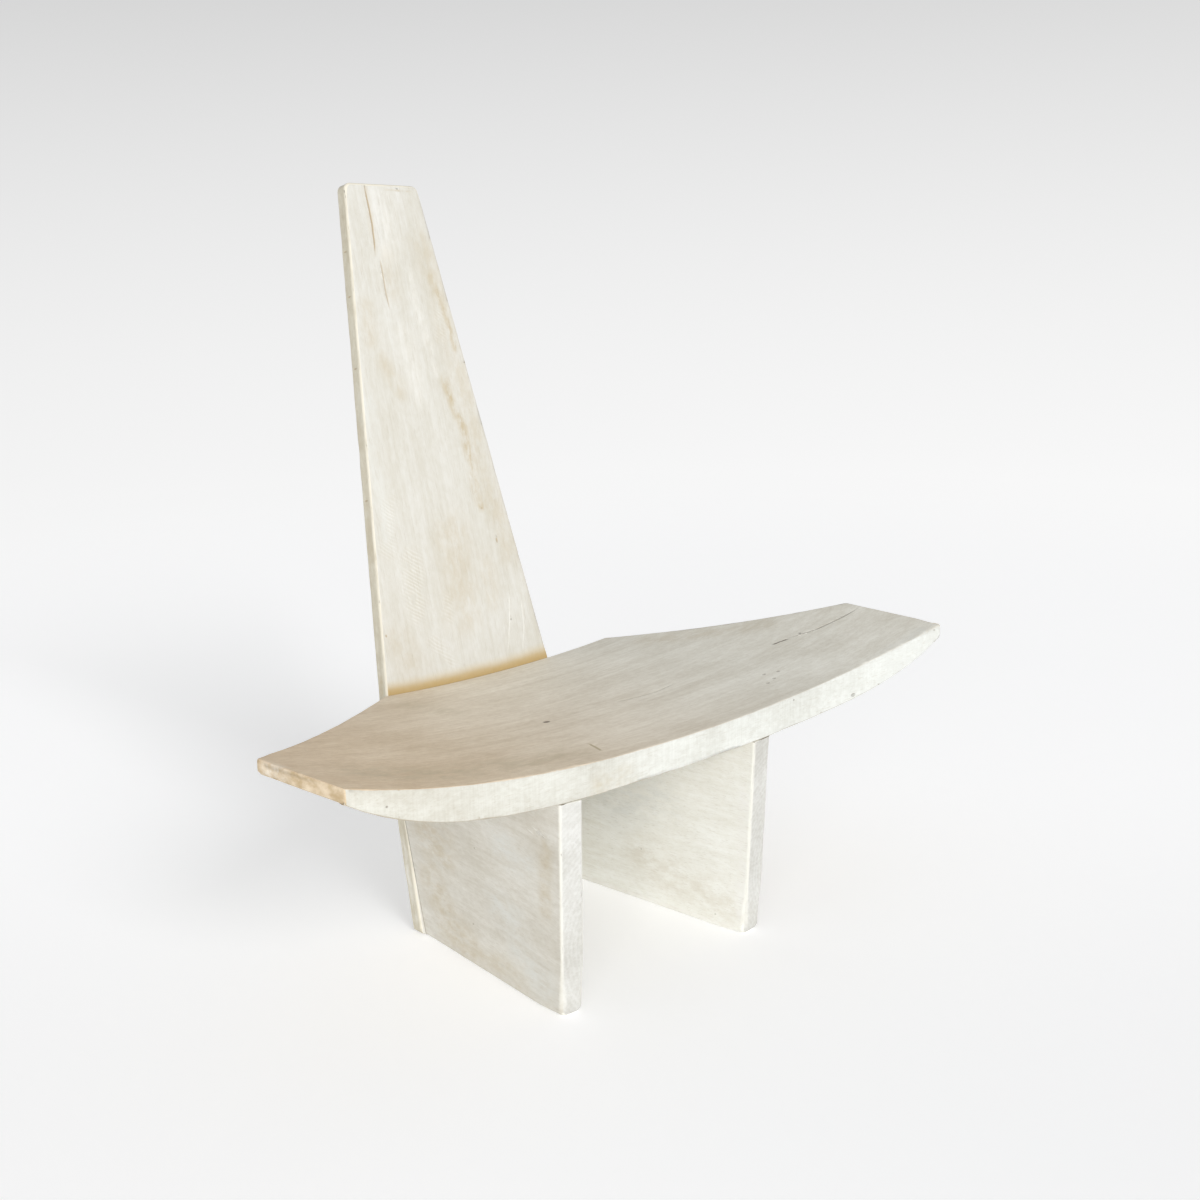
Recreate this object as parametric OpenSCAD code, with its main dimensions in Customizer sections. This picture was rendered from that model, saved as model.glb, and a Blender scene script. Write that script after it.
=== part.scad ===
// Low lounge chair made of four thick slabs of limed hardwood.
// A long dished seat slab lies across two toed-in leg slabs, and a tall tapered
// plank leans back behind them all and runs down to the floor.
// Left and right are as seen from in front of the chair, with +X to the right,
// +Y to the back and +Z up. Lengths are in millimetres and angles in degrees.

/* [Seat slab] */
// Height of the middle of the seat's top above the floor
seat_h = 357; // [340:1:380]
// Thickness of the slab at its middle
seat_mid_t = 46; // [42:1:56]
// Thickness of the slab at its two tips
seat_tip_t = 22; // [16:1:32]
// Rise of the tips above the middle of the seat's top
seat_dish = 58; // [30:1:80]
// Share of the top's rise that is one even hollow, the rest curls up the tips
dish_even = 0.8; // [0.4:0.01:1]
// Share of the underside's rise that is one even curve, the rest thins the tips
belly_even = 0.41; // [0.3:0.01:0.7]
// Reach of the left tip from the middle of the chair, along its front edge
seat_left_reach = 522; // [460:1:580]
// Reach of the right tip from the middle of the chair, along its front edge
seat_right_reach = 612; // [560:1:680]
// How far the left tip grows longer from its front to its rear corner
left_tip_flare = 24; // [2:1:30]
// How far the right tip grows longer from its front to its rear corner
right_tip_flare = 7; // [2:1:20]
// How far the left tip's front corner lies behind the middle of the front edge
left_tip_back = 34; // [0:1:40]
// How far the right tip's front corner lies before the middle of the front edge
right_tip_fore = 22; // [0:1:30]
// Depth of the left tip from front to rear
left_tip_depth = 163; // [150:1:220]
// Depth of the right tip from front to rear
right_tip_depth = 204; // [160:1:230]
// Left corner of the straight rear edge, from the middle of the chair
rear_left_reach = 172; // [170:1:260]
// Right corner of the straight rear edge, from the middle of the chair
rear_right_reach = 301; // [220:1:380]
// Rounding of the tips' front corners, seen from above
tip_front_r = 6; // [2:1:12]
// Rounding of the tips' rear corners, seen from above
tip_rear_r = 14; // [4:1:24]

/* [Back plank] */
// Height of the plank's top front edge above the floor, at its left corner
back_h = 1132; // [950:1:1250]
// How much lower the top's right corner lies than its left one
back_top_fall = 6; // [0:1:15]
// How far the middle of the top lies to the right of the plank's foot
back_top_shift = 3; // [-10:1:10]
// Thickness of the plank
back_t = 26; // [22:1:34]
// Angle by which the plank leans back
back_lean = 13.5; // [8:0.5:16]
// Distance from the seat's front edge to the plank's face, at the floor
back_foot_y = 363; // [330:1:400]
// Width of the plank at the floor
back_foot_w = 362; // [350:1:400]
// Width of the plank at the height of the seat
back_seat_w = 329; // [320:1:340]
// Width of the plank at its top
back_top_w = 138; // [100:1:200]
// Rounding of the plank's top corners
back_corner_r = 12; // [4:1:30]

/* [Leg slabs] */
// Thickness of each leg
leg_t = 39; // [32:1:46]
// Width over the outsides of the two legs, at their front ends under the seat
leg_spread = 423; // [410:1:440]
// How far the legs' outer front corners lie behind the seat's front edge
leg_front_y = 2; // [2:1:30]
// Angle by which each leg turns inwards towards the back
leg_toe = 5; // [3:0.5:6]
// Angle by which each leg leans inwards towards the floor
leg_lean = 1; // [0:0.1:2]
// Angle by which the legs' front edges run back towards the floor
leg_rake = 2.4; // [0:0.1:6]
// Rounding of each leg's lower front corner
leg_toe_r = 5; // [2:1:12]

/* [Dowels] */
// Diameter of the dowels
dowel_d = 10; // [8:1:12]
// Chamfer on the dowels' ends
dowel_chamfer = 1; // [0.5:0.1:2]
// Glue gap all round a dowel in its bore
dowel_fit = 0.1; // [0.05:0.05:0.2]
// Gap left beyond each end of a dowel in its bore
dowel_end_gap = 1.5; // [1:0.5:3]
// Depth to which a dowel goes into a leg, from the seat or from the back
dowel_in_leg = 38; // [25:1:45]
// Depth to which a leg's dowel goes up into the seat
dowel_up_seat = 24; // [18:1:28]
// Depth to which the back's dowels go into the seat's rear edge
dowel_in_seat = 38; // [25:1:50]
// Depth to which a dowel goes into the back plank
dowel_in_back = 17; // [12:1:18]
// Dowels between the seat and each leg
seat_leg_dowels = 3; // [2:1:3]
// Distance of the first of them from the seat's front edge
seat_dowel_inset = 70; // [50:1:90]
// Spacing of the dowels between the seat and each leg
seat_dowel_pitch = 125; // [100:1:130]
// Dowels between the back plank and each leg
back_leg_dowels = 3; // [2:1:3]
// Height of the lowest of them above the floor
back_dowel_h = 60; // [40:1:80]
// Spacing of the dowels between the back plank and each leg
back_dowel_pitch = 85; // [70:1:90]
// Dowels between the back plank and the seat
seat_back_dowels = 4; // [2:1:4]
// Spacing of the dowels between the back plank and the seat
seat_back_pitch = 80; // [60:1:85]

/* [Hidden] */
LEFT = -1;
RIGHT = 1;
SIDES = [LEFT, RIGHT];

// Pale limed wood of the slabs, and the plain beech of the dowels
LIMED = "#e2dccb";
LIMED_TOP = "#c9b695";
BEECH = "#d9b98a";

// Flat steps along the seat's curves, and along each rounded corner
CURVE_STEPS = 48;
ARC_STEPS = 6;
$fn = 48;

// Length by which cutting blocks and blanks run past what they cut
OVERRUN = 40;

seat_under_h = seat_h - seat_mid_t;
seat_mid_x = (seat_right_reach - seat_left_reach) / 2;
seat_half = (seat_right_reach + seat_left_reach) / 2;
belly_rise = seat_dish + seat_mid_t - seat_tip_t;
seat_tip_h = seat_h + seat_dish;
side_steps = [for (k = [0:CURVE_STEPS]) 2 * k / CURVE_STEPS - 1];

function side_name(side) = side == LEFT ? "left" : "right";
function seat_leg_dowel_name(side, k) = str(side_name(side), "_leg_seat_dowel_", k);
function back_leg_dowel_name(side, k) = str(side_name(side), "_leg_back_dowel_", k);
function seat_back_dowel_name(k) = str("seat_back_dowel_", k);

// Heights of the seat's top and underside at a place along its length. Past the
// front corners of the tips the slab keeps its thickness.
function seat_share(x) = (x - seat_mid_x) / seat_half;
function mixed_rise(u, even, power) = even * pow(u, 2) + (1 - even) * pow(u, power);
function top_z(x) = seat_h + seat_dish * mixed_rise(seat_share(x), dish_even, 4);
function under_z(x) = abs(seat_share(x)) > 1
    ? top_z(x) - seat_tip_t
    : seat_under_h + belly_rise * mixed_rise(seat_share(x), belly_even, 6);

// Front edge of the seat, straight in the middle and swept at each tip
function tip_sweep(u) = u < 0 ? left_tip_back : -right_tip_fore;
function front_y(u) = tip_sweep(u) * pow(u, 4);

// Face of the back plank at a height above the floor
function back_face_y(z) = back_foot_y + z * tan(back_lean);

// Point on the line through two points, at a given y
function at_y(a, b, y) = a + (b - a) * (y - a[1]) / (b[1] - a[1]);

// Outline with its corners rounded, each by its own radius
function unit(v) = v / norm(v);
function corner_arc(before, corner, after, r) =
    let (
        u = unit(before - corner),
        v = unit(after - corner),
        half = acos(u * v) / 2,
        centre = corner + unit(u + v) * r / sin(half),
        from_centre = corner + u * r / tan(half) - centre,
        start = atan2(from_centre[1], from_centre[0]),
        turn = sign(cross(-u, v)) * (180 - 2 * half)
    )
    [for (k = [0:ARC_STEPS]) centre + r * [
        cos(start + turn * k / ARC_STEPS),
        sin(start + turn * k / ARC_STEPS)
    ]];
function rounded(points, radii) =
    let (n = len(points))
    [for (k = [0:n - 1]) each radii[k] > 0
        ? corner_arc(points[(k + n - 1) % n], points[k], points[(k + 1) % n], radii[k])
        : [points[k]]];

// Seat seen from above, run on past the plank's face at the rear
seat_front = [for (u = side_steps) [seat_mid_x + u * seat_half, front_y(u)]];
left_tip_rear = [-seat_left_reach - left_tip_flare, left_tip_back + left_tip_depth];
right_tip_rear = [seat_right_reach + right_tip_flare, right_tip_depth - right_tip_fore];
seat_rear_y = back_face_y(seat_h);
seat_plan = rounded(
    concat(seat_front, [
        right_tip_rear,
        at_y(right_tip_rear, [rear_right_reach, seat_rear_y], seat_rear_y + OVERRUN),
        at_y(left_tip_rear, [-rear_left_reach, seat_rear_y], seat_rear_y + OVERRUN),
        left_tip_rear
    ]),
    concat(
        [tip_front_r],
        [for (k = [2:CURVE_STEPS]) 0],
        [tip_front_r, tip_rear_r, 0, 0, tip_rear_r]
    )
);
seat_xs = [for (p = seat_plan) p[0]];
seat_ys = [for (p = seat_plan) p[1]];

// Underside and top of the seat from one tip's rear corner to the other's
section_xs = concat(
    [left_tip_rear[0]],
    [for (u = side_steps) seat_mid_x + u * seat_half],
    [right_tip_rear[0]]
);
section_end = len(section_xs) - 1;
under_curve = [for (x = section_xs) [x, under_z(x)]];
top_curve = [for (k = [section_end:-1:0]) [section_xs[k], top_z(section_xs[k])]];

// Middle of the chair's footprint, which becomes the origin
back_len = back_h / cos(back_lean);
back_rear_y = back_face_y(back_h) + back_t * cos(back_lean);
chair_mid_x = (min(seat_xs) + max(seat_xs)) / 2;
chair_mid_y = (min(seat_ys) + back_rear_y) / 2;

// Distance of a leg's mid-plane from the middle of the chair
leg_mid_top = leg_spread / 2 - leg_t / 2 / cos(leg_toe);
function leg_mid_x(y, z) =
    leg_mid_top - (y - leg_front_y) * tan(leg_toe) - (seat_under_h - z) * tan(leg_lean);

// Whole chair moved so that the middle of its footprint is the origin
module placed() {
    translate([-chair_mid_x, -chair_mid_y, 0]) children();
}

// Frame of the back plank: its face is the plane y = 0, and z runs up along it
module on_back_face() {
    translate([0, back_foot_y, 0]) rotate([-back_lean, 0, 0]) children();
}

module extruded_across(section, from_y, to_y) {
    translate([0, to_y, 0]) rotate([90, 0, 0]) linear_extrude(to_y - from_y) polygon(section);
}

module behind_back_face() {
    on_back_face() translate([-seat_half * 2, 0, -back_len])
        cube([seat_half * 4, seat_half, back_len * 2]);
}

module below_floor() {
    translate([-seat_half, -OVERRUN, -OVERRUN])
        cube([seat_half * 2, back_rear_y + OVERRUN * 2, OVERRUN]);
}

module above_seat_underside() {
    over = seat_tip_h + OVERRUN;
    first = section_xs[0];
    last = section_xs[section_end];
    extruded_across(concat(under_curve, [[last, over], [first, over]]),
        -OVERRUN, back_rear_y);
}

// Round bar along +Z from -below to +above, chamfered at both ends
module dowel(below, above) {
    r = dowel_d / 2;
    rotate_extrude() polygon([
        [0, -below],
        [r - dowel_chamfer, -below],
        [r, -below + dowel_chamfer],
        [r, above - dowel_chamfer],
        [r - dowel_chamfer, above],
        [0, above]
    ]);
}

module dowel_bore(below, above) {
    translate([0, 0, -below - dowel_end_gap])
        cylinder(h = below + above + dowel_end_gap * 2, d = dowel_d + dowel_fit * 2);
}

// Places of the dowels, each with +Z along its axis and z = 0 in the joint
module at_seat_leg_dowel(side, k) {
    y = seat_dowel_inset + (k - 1) * seat_dowel_pitch;
    x = side * leg_mid_x(y, seat_under_h);
    translate([x, y, under_z(x)]) children();
}

module at_back_leg_dowel(side, k) {
    z = back_dowel_h + (k - 1) * back_dowel_pitch;
    y = back_face_y(z) - dowel_in_leg / 2 * cos(back_lean);
    on_back_face() translate([side * leg_mid_x(y, z), 0, z / cos(back_lean)])
        rotate([-90, 0, 0]) children();
}

module at_seat_back_dowel(k) {
    x = (k - (seat_back_dowels + 1) / 2) * seat_back_pitch;
    z = seat_h - seat_mid_t / 2 - dowel_in_seat * sin(back_lean) / 2;
    on_back_face() translate([x, 0, z / cos(back_lean)]) rotate([-90, 0, 0]) children();
}

module seat_leg_bores(side) {
    for (k = [1:seat_leg_dowels])
        at_seat_leg_dowel(side, k) dowel_bore(dowel_in_leg, dowel_up_seat);
}

module back_leg_bores(side) {
    for (k = [1:back_leg_dowels])
        at_back_leg_dowel(side, k) dowel_bore(dowel_in_leg, dowel_in_back);
}

module seat_back_bores() {
    for (k = [1:seat_back_dowels])
        at_seat_back_dowel(k) dowel_bore(dowel_in_seat, dowel_in_back);
}

// Long dished slab, thick in the middle and thin at its raised tips
module seat_slab() {
    color(LIMED_TOP) placed() difference() {
        intersection() {
            extruded_across(concat(under_curve, top_curve), -OVERRUN, seat_rear_y + OVERRUN);
            linear_extrude(seat_tip_h + OVERRUN) polygon(seat_plan);
        }
        behind_back_face();
        for (side = SIDES) seat_leg_bores(side);
        seat_back_bores();
    }
}

// Tall plank, tapered to the top and cut level at the floor
module back_plank() {
    seat_level = seat_h / cos(back_lean);
    outline = rounded([
        [-back_foot_w / 2, 0],
        [back_foot_w / 2, 0],
        [back_seat_w / 2, seat_level],
        [back_top_shift + back_top_w / 2, back_len - back_top_fall],
        [back_top_shift - back_top_w / 2, back_len],
        [-back_seat_w / 2, seat_level]
    ], [0, 0, 0, back_corner_r, back_corner_r, 0]);
    color(LIMED) placed() difference() {
        on_back_face() translate([0, back_t, 0]) rotate([90, 0, 0])
            linear_extrude(back_t) polygon(outline);
        below_floor();
        for (side = SIDES) back_leg_bores(side);
        seat_back_bores();
    }
}

// Leg slab before its top, rear and foot are cut, on the left side
module leg_blank() {
    foot = -seat_under_h - leg_t * sin(leg_lean);
    top = belly_rise + OVERRUN;
    rear = back_face_y(seat_h) + OVERRUN;
    outline = rounded([
        [-foot * tan(leg_rake), foot],
        [rear, foot],
        [rear, top],
        [-top * tan(leg_rake), top]
    ], [leg_toe_r, 0, 0, 0]);
    translate([-leg_spread / 2, leg_front_y, seat_under_h])
        rotate([0, 0, -leg_toe]) rotate([0, -leg_lean, 0]) rotate([90, 0, 90])
            linear_extrude(leg_t) polygon(outline);
}

module leg(side) {
    color(LIMED) placed() difference() {
        if (side == LEFT) leg_blank();
        else mirror([1, 0, 0]) leg_blank();
        above_seat_underside();
        behind_back_face();
        below_floor();
        seat_leg_bores(side);
        back_leg_bores(side);
    }
}

module left_leg() {
    leg(LEFT);
}

module right_leg() {
    leg(RIGHT);
}

// Dowels that hold the seat down on the legs
module seat_leg_dowel(side, k) {
    color(BEECH) placed() at_seat_leg_dowel(side, k) dowel(dowel_in_leg, dowel_up_seat);
}

// Dowels that hold the back plank to the legs' rear edges
module back_leg_dowel(side, k) {
    color(BEECH) placed() at_back_leg_dowel(side, k) dowel(dowel_in_leg, dowel_in_back);
}

// Dowels that hold the back plank to the seat's rear edge
module seat_back_dowel(k) {
    color(BEECH) placed() at_seat_back_dowel(k) dowel(dowel_in_seat, dowel_in_back);
}

seat_slab();
back_plank();
left_leg();
right_leg();
for (side = SIDES, k = [1:seat_leg_dowels])
    seat_leg_dowel(side, k);
for (side = SIDES, k = [1:back_leg_dowels])
    back_leg_dowel(side, k);
for (k = [1:seat_back_dowels])
    seat_back_dowel(k);
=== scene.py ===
import math

import bmesh
import bpy
from mathutils import Matrix, Vector, noise
from mathutils.bvhtree import BVHTree


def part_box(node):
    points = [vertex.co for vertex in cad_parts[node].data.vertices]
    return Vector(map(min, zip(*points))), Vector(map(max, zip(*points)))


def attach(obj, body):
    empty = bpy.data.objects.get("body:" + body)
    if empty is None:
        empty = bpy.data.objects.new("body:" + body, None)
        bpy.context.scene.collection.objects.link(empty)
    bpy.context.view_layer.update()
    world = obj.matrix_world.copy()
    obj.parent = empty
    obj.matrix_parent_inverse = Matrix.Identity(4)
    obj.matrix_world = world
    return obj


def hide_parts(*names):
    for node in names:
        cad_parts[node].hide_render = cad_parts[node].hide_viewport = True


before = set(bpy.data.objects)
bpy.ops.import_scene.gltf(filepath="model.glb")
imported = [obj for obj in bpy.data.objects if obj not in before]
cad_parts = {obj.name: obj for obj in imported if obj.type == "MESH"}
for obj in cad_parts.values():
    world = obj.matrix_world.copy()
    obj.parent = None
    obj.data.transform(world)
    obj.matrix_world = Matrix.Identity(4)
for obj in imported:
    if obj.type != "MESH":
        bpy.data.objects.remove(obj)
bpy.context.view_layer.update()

MM = 0.001
UP = Vector((0, 0, 1))
ACROSS = Vector((1, 0, 0))
BACKWARD = Vector((0, 1, 0))

# Camera, at the photograph's viewing angle
PHOTO_PX = 1200
FOCAL_PX = 1575.6
SENSOR = 36
CAMERA_AT = Vector((-1.5404, -1.7856, 1.0619))
CAMERA_TURN = math.radians(-43.04)
CAMERA_PITCH = math.radians(13.436)
CAMERA_ROLL = math.radians(-1.0)

# Light, with its bearings and heights in degrees
WORLD = 0.46
KEY = 1.6
KEY_ANGLE = math.radians(24)
KEY_BEARING = -13
KEY_HEIGHT = 26
FILL = 40
FILL_BEARING = -48
FILL_HEIGHT = 7
FILL_DISTANCE = 3.6
FILL_SIZE = 1.6
LIGHT_TARGET = Vector((0, 0, 0.45))

# Floor that sweeps up into a round backdrop
FLOOR_RADIUS = 4.5
FLOOR_BEND = 2.5
FLOOR_TURNS = 96
FLOOR_STEPS = 16
FLOOR_RINGS = (0.5, 1.5, 3)
FLOOR_ROUGHNESS = 0.9
FLOOR_COLOUR = (0.82, 0.823, 0.83, 1)
FLOOR_COLOUR_BEHIND = (0.925, 0.929, 0.937, 1)
FLOOR_GLOW = 0.22
FLOOR_GLOW_BEHIND = 0.235
BEHIND_FROM = -0.9
BEHIND_TO = 0.6
FAR_FROM = 2.4
FAR_COLOUR = (0.08, 0.08, 0.08, 1)
FAR_GLOW = 0.822
FAR_FADE = -0.066
FAR_FADE_MORE = -0.0165
FAR_TILT = 0.007

# Construction of the chair, as its frame has it
SEAT = "seat_slab"
BACK = "back_plank"
LEFT_LEG = "left_leg"
RIGHT_LEG = "right_leg"
SLABS = (SEAT, BACK, LEFT_LEG, RIGHT_LEG)
DEPSGRAPH = bpy.context.evaluated_depsgraph_get()
SURFACES = {name: BVHTree.FromObject(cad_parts[name], DEPSGRAPH) for name in SLABS}
LEG_BOXES = [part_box(LEFT_LEG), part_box(RIGHT_LEG)]
LEG_TOP = LEG_BOXES[0][1].z
BACK_LEAN = math.radians(13.5)
BACK_UP = Vector((0, math.sin(BACK_LEAN), math.cos(BACK_LEAN)))
BACK_IN = Vector((0, math.cos(BACK_LEAN), -math.sin(BACK_LEAN)))
BACK_FOOT = Vector((0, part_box(BACK)[0].y, 0))
ABOVE_DOWELS = 25 * MM
SEAT_JOINT_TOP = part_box("seat_back_dowel_1")[1].z + ABOVE_DOWELS
SEAT_ENDS = (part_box(SEAT)[0].x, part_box(SEAT)[1].x)

# Mesh work on the slabs
WELD = 0.001 * MM
FLAT = math.radians(0.1)
ARRIS_ANGLE = math.radians(25)
ARRIS = 2.6 * MM
JOINT_SHARE = 0.5
LEG_REAR_SHARE = 0.8
FOOT_SHARE = 0.8
BACK_SHARE = 1.9
SEAT_SHARE = 0.8
SEAT_LOW_SHARE = 1
SEAT_END_MORE = 0.5
BACK_FOOT_ROUND = 9 * MM
LEG_ROUND = 4.5 * MM
TOE_ROUND = 11.5 * MM
TOE_REACH = 60 * MM
TOE_HEIGHT = 90 * MM
ROUND_STEPS = [-1.5 * MM, -3 * MM, -4.5 * MM, -6 * MM, -8.5 * MM, -11.5 * MM]
TIP_ROUND = 6 * MM
TIP_NEAR = 20 * MM
TIP_FAR = 70 * MM
TIP_CORNERS = [(264, 768), (937, 632)]
WALL_SLOPE = 0.6
THICK_SLOPE = 0.5
UPRIGHT_SLOPE = 0.3
STRAIGHT_ON = 0.9
SAME_WAY = 0.3
LEAST_ROUND = 1 * MM
ARRIS_SEGMENTS = 4
GRID = 6 * MM
BORE_MARGIN = 2 * MM
SMOOTHINGS = 6
FREE = 0.99
ARRIS_FACES = 1
SEAM_REACH = 3 * MM
SEAM_LENGTH = 35 * MM
SEAM_LEAST = 0.5
SEAM_OPEN_FROM = -0.3
SEAM_OPEN_TO = 0.1

# Unevenness that tools and wear leave
SLOW_WAVE = 95 * MM
SLOW_SINK = 0.7 * MM
QUICK_WAVE = 28 * MM
QUICK_SINK = 0.15 * MM
RUB_WAVE = 36 * MM
RUB_SINK = 1.1 * MM
WORN_FROM = 6 * MM
WORN_TO = 30 * MM
WORN_TURN = 1.12
SEAT_SEED = 3.1
BACK_SEED = 7.7
LEFT_LEG_SEED = 11.3
RIGHT_LEG_SEED = 17.9

# Cracks and pits, as shares of their own width, length and depth
CRACK_REACH = 0.3
CRACK_TAPER = 0.12
CRACK_LEAST = 0.3
PIT_WALL = 0.8
PIT_RIM = 0.4

# How near its neighbours a slab is held, and from where it is free
ON_BACK = 0.2 * MM
HELD = 0.1 * MM
BACK_CLEAR = 9 * MM
FLOOR_CLEAR = 8 * MM
TOP_HELD = 1 * MM
TOP_CLEAR = 12 * MM
SEAT_CLEAR = 15 * MM
SIDE_HELD = 4 * MM
SIDE_CLEAR = 12 * MM

# Marks on the back plank, as paths of the photograph's pixels
TOP_CRACK = [(364.5, 185), (366.5, 196), (369, 207), (372.5, 225), (374.7, 244), (375.4, 254)]
LOWER_CRACK = [(380, 258.6), (382.8, 273), (386.3, 294), (389.7, 308)]
TOP_TAN_LINE = [(385, 189.5), (398, 190.5), (410, 191.5)]
LEFT_WHITE_LINE = [(411, 290), (418, 318), (427, 345), (438, 376)]
RIGHT_WHITE_LINE = [(407, 262), (413, 290), (423, 322), (434, 352)]
LOW_WHITE_LINE = [(509, 590), (510, 620), (508, 652)]
EDGE_WHITE_LINE = [(521, 600), (524, 625), (523, 648)]
BROWN_STREAK = [(444, 380), (456, 411), (464, 428), (467, 446), (472, 466), (477, 494), (482, 505)]
DIAGONAL_STREAK = [(430, 275), (438, 296), (447, 317), (456, 350)]
CROSSHATCH = [(440, 300), (441, 338)]
ROSY_PATCH = [(388, 257), (392, 290)]
UPPER_MOTTLE = [(366, 308), (373, 340)]
MIDDLE_MOTTLE = [(382, 360), (402, 392)]
COOL_LEFT = [(368, 400), (375, 470), (384, 540)]
PALE_MIDDLE = [(404, 330), (420, 400)]
WARM_PATCH = [(452, 535), (460, 575), (462, 612)]
WARM_RIGHT = [(485, 560), (494, 600)]
WARM_FOOT = [(400, 645), (412, 668)]
RIGHT_EDGE_SHADE = [(422, 240), (450, 335), (478, 440), (508, 550)]
LEFT_RIPPLES = [(390, 505), (388, 550)]
MIDDLE_RIPPLES = [(412, 560), (418, 612)]
RIGHT_RIPPLES = [(448, 600), (449, 617)]
LOW_RIPPLES = [(434, 640), (450, 662)]
KNOT_MARK = (482, 508)
DARK_DOT = (497, 540)
SIDE_SPOTS = [(345, 252), (349, 297), (355, 369), (366, 501)]
ARRIS_NICK = (386.5, 636)
SIDE_WARM = [(361, 430), (366, 490), (371, 560)]
SIDE_WARM_FOOT = [(380.5, 680), (381.5, 694)]
SIDE_PALE = [(402, 840), (409, 880), (416, 918)]
ARRIS_GLINT = [(412.5, 872), (416, 893), (420, 918)]
TOP_PALE = [(380, 200), (388, 250)]

# Marks on the back plank, each a path with half its width and its strength
BACK_WARM_MARKS = (
    (BROWN_STREAK, 14 * MM, 1),
    (DIAGONAL_STREAK, 13 * MM, 0.75),
    (CROSSHATCH, 20 * MM, 0.3),
    (ROSY_PATCH, 30 * MM, 0.3),
    (UPPER_MOTTLE, 26 * MM, 0.4),
    (MIDDLE_MOTTLE, 24 * MM, 0.4),
    (WARM_PATCH, 60 * MM, 0.4),
    (WARM_RIGHT, 30 * MM, 0.3),
    (WARM_FOOT, 50 * MM, 0.3),
    (RIGHT_EDGE_SHADE, 40 * MM, 0.35),
)
BACK_RIPPLES = (
    (LEFT_RIPPLES, 26 * MM, 0.8),
    (MIDDLE_RIPPLES, 34 * MM, 1),
    (RIGHT_RIPPLES, 20 * MM, 0.7),
    (LOW_RIPPLES, 20 * MM, 0.7),
    (CROSSHATCH, 18 * MM, 0.7),
)

# Marks on the seat
OPEN_CHECK = [(772, 644.5), (780, 641.3), (788, 638.5)]
LONG_CHECK = [(789, 637.5), (802, 633.5), (815, 629.5), (838, 619), (858, 608)]
FAINT_CHECK = [(616, 702), (636.5, 697), (656, 691.5), (675, 683)]
SHORT_CHECK = [(589, 743.5), (595, 746.5), (602, 750.5)]
SLOT_KNOT = (546.5, 721.5)
WORM_HOLES = [(768, 682.6), (774, 678), (764, 674), (778, 671)]
FRONT_HOLES = [(387, 807), (794, 700)]
FRONT_NOTCH = (853.5, 695)
END_PALE = [(266, 768), (283, 773)]
END_ARRIS = [(264, 766), (300, 778), (350, 791)]
FRONT_ARRIS = [(352.5, 793), (352.5, 805)]
TOP_WARM_PATCH = [(360, 772), (430, 774), (520, 764), (570, 752)]
TOP_WARM_SPOT = [(410, 705), (450, 712)]
FRONT_WARM_PATCH = [(600, 785), (625, 778)]
RIGHT_WARM_PATCH = [(650, 640), (700, 634), (760, 625)]
# Painted shade, cool grey, on the front of the seat's right tip
RIGHT_TIP_SHADE = [(890, 668), (912, 655), (930, 641)]
# Painted shade along the seat's lower front arris, above the right leg
LOWER_EDGE_SHADE = [(640, 780), (683, 765), (739, 746.5)]

# Marks on the legs
COOL_LEG_PATCHES = [[(500, 845), (522, 858)], [(497, 905), (515, 925)], [(520, 955), (545, 985)]]
WARM_LEG_PATCH = [(432, 880), (447, 920), (470, 952)]
WARM_LEG_STRIP = [(545, 850), (545, 915)]
# Tan of the wood with painted shade, at the top of the left leg's outer face, under the seat beside the
# plank
WARM_LEG_TOP_SHADE = [(425, 830), (440, 850)]
WARM_LEG_FOOT = [(465, 945), (500, 965), (520, 978)]
LEG_SCRATCHES = [[(531, 826), (540, 834), (548, 841)], [(527, 829), (534, 835)]]
LEG_DOTS = [(473, 924), (474, 848)]
INNER_DOTS = [(641, 849), (715, 914)]
INNER_WARM_PATCH = [(640, 855), (690, 885), (725, 905)]
INNER_COOL_PATCH = [(615, 805), (660, 800)]
INNER_PALE_STRIP = [(744, 790), (742, 850), (739, 915)]


# Camera


def camera_axes():
    """Right, up and forward of the photograph's camera."""
    forward = Vector((
        -math.sin(CAMERA_TURN) * math.cos(CAMERA_PITCH),
        math.cos(CAMERA_TURN) * math.cos(CAMERA_PITCH),
        -math.sin(CAMERA_PITCH),
    ))
    level = forward.cross(UP).normalized()
    rise = level.cross(forward)
    right = level * math.cos(CAMERA_ROLL) + rise * math.sin(CAMERA_ROLL)
    up = rise * math.cos(CAMERA_ROLL) - level * math.sin(CAMERA_ROLL)
    return right, up, forward


def linked(name, data):
    thing = bpy.data.objects.new(name, data)
    bpy.context.scene.collection.objects.link(thing)
    return thing


def make_camera():
    data = bpy.data.cameras.new("photo_camera")
    data.sensor_width = SENSOR
    data.lens = SENSOR * FOCAL_PX / PHOTO_PX
    camera = linked("photo_camera", data)
    right, up, forward = camera_axes()
    turn = Matrix((right, up, -forward)).transposed().to_4x4()
    camera.matrix_world = Matrix.Translation(CAMERA_AT) @ turn
    bpy.context.scene.camera = camera


def struck(node, pixel):
    """Place and outward direction of a CAD node's surface that the photograph shows at a pixel."""
    right, up, forward = camera_axes()
    x = (pixel[0] - PHOTO_PX / 2) / FOCAL_PX
    y = (PHOTO_PX / 2 - pixel[1]) / FOCAL_PX
    ray = forward + right * x + up * y
    place, normal = SURFACES[node].ray_cast(CAMERA_AT, ray)[:2]
    if place is None:
        raise ValueError(f"{node} isn't seen at {pixel}")
    return place, normal


def seen(node, pixels):
    return [struck(node, pixel)[0] for pixel in pixels]


# Material nodes


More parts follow.
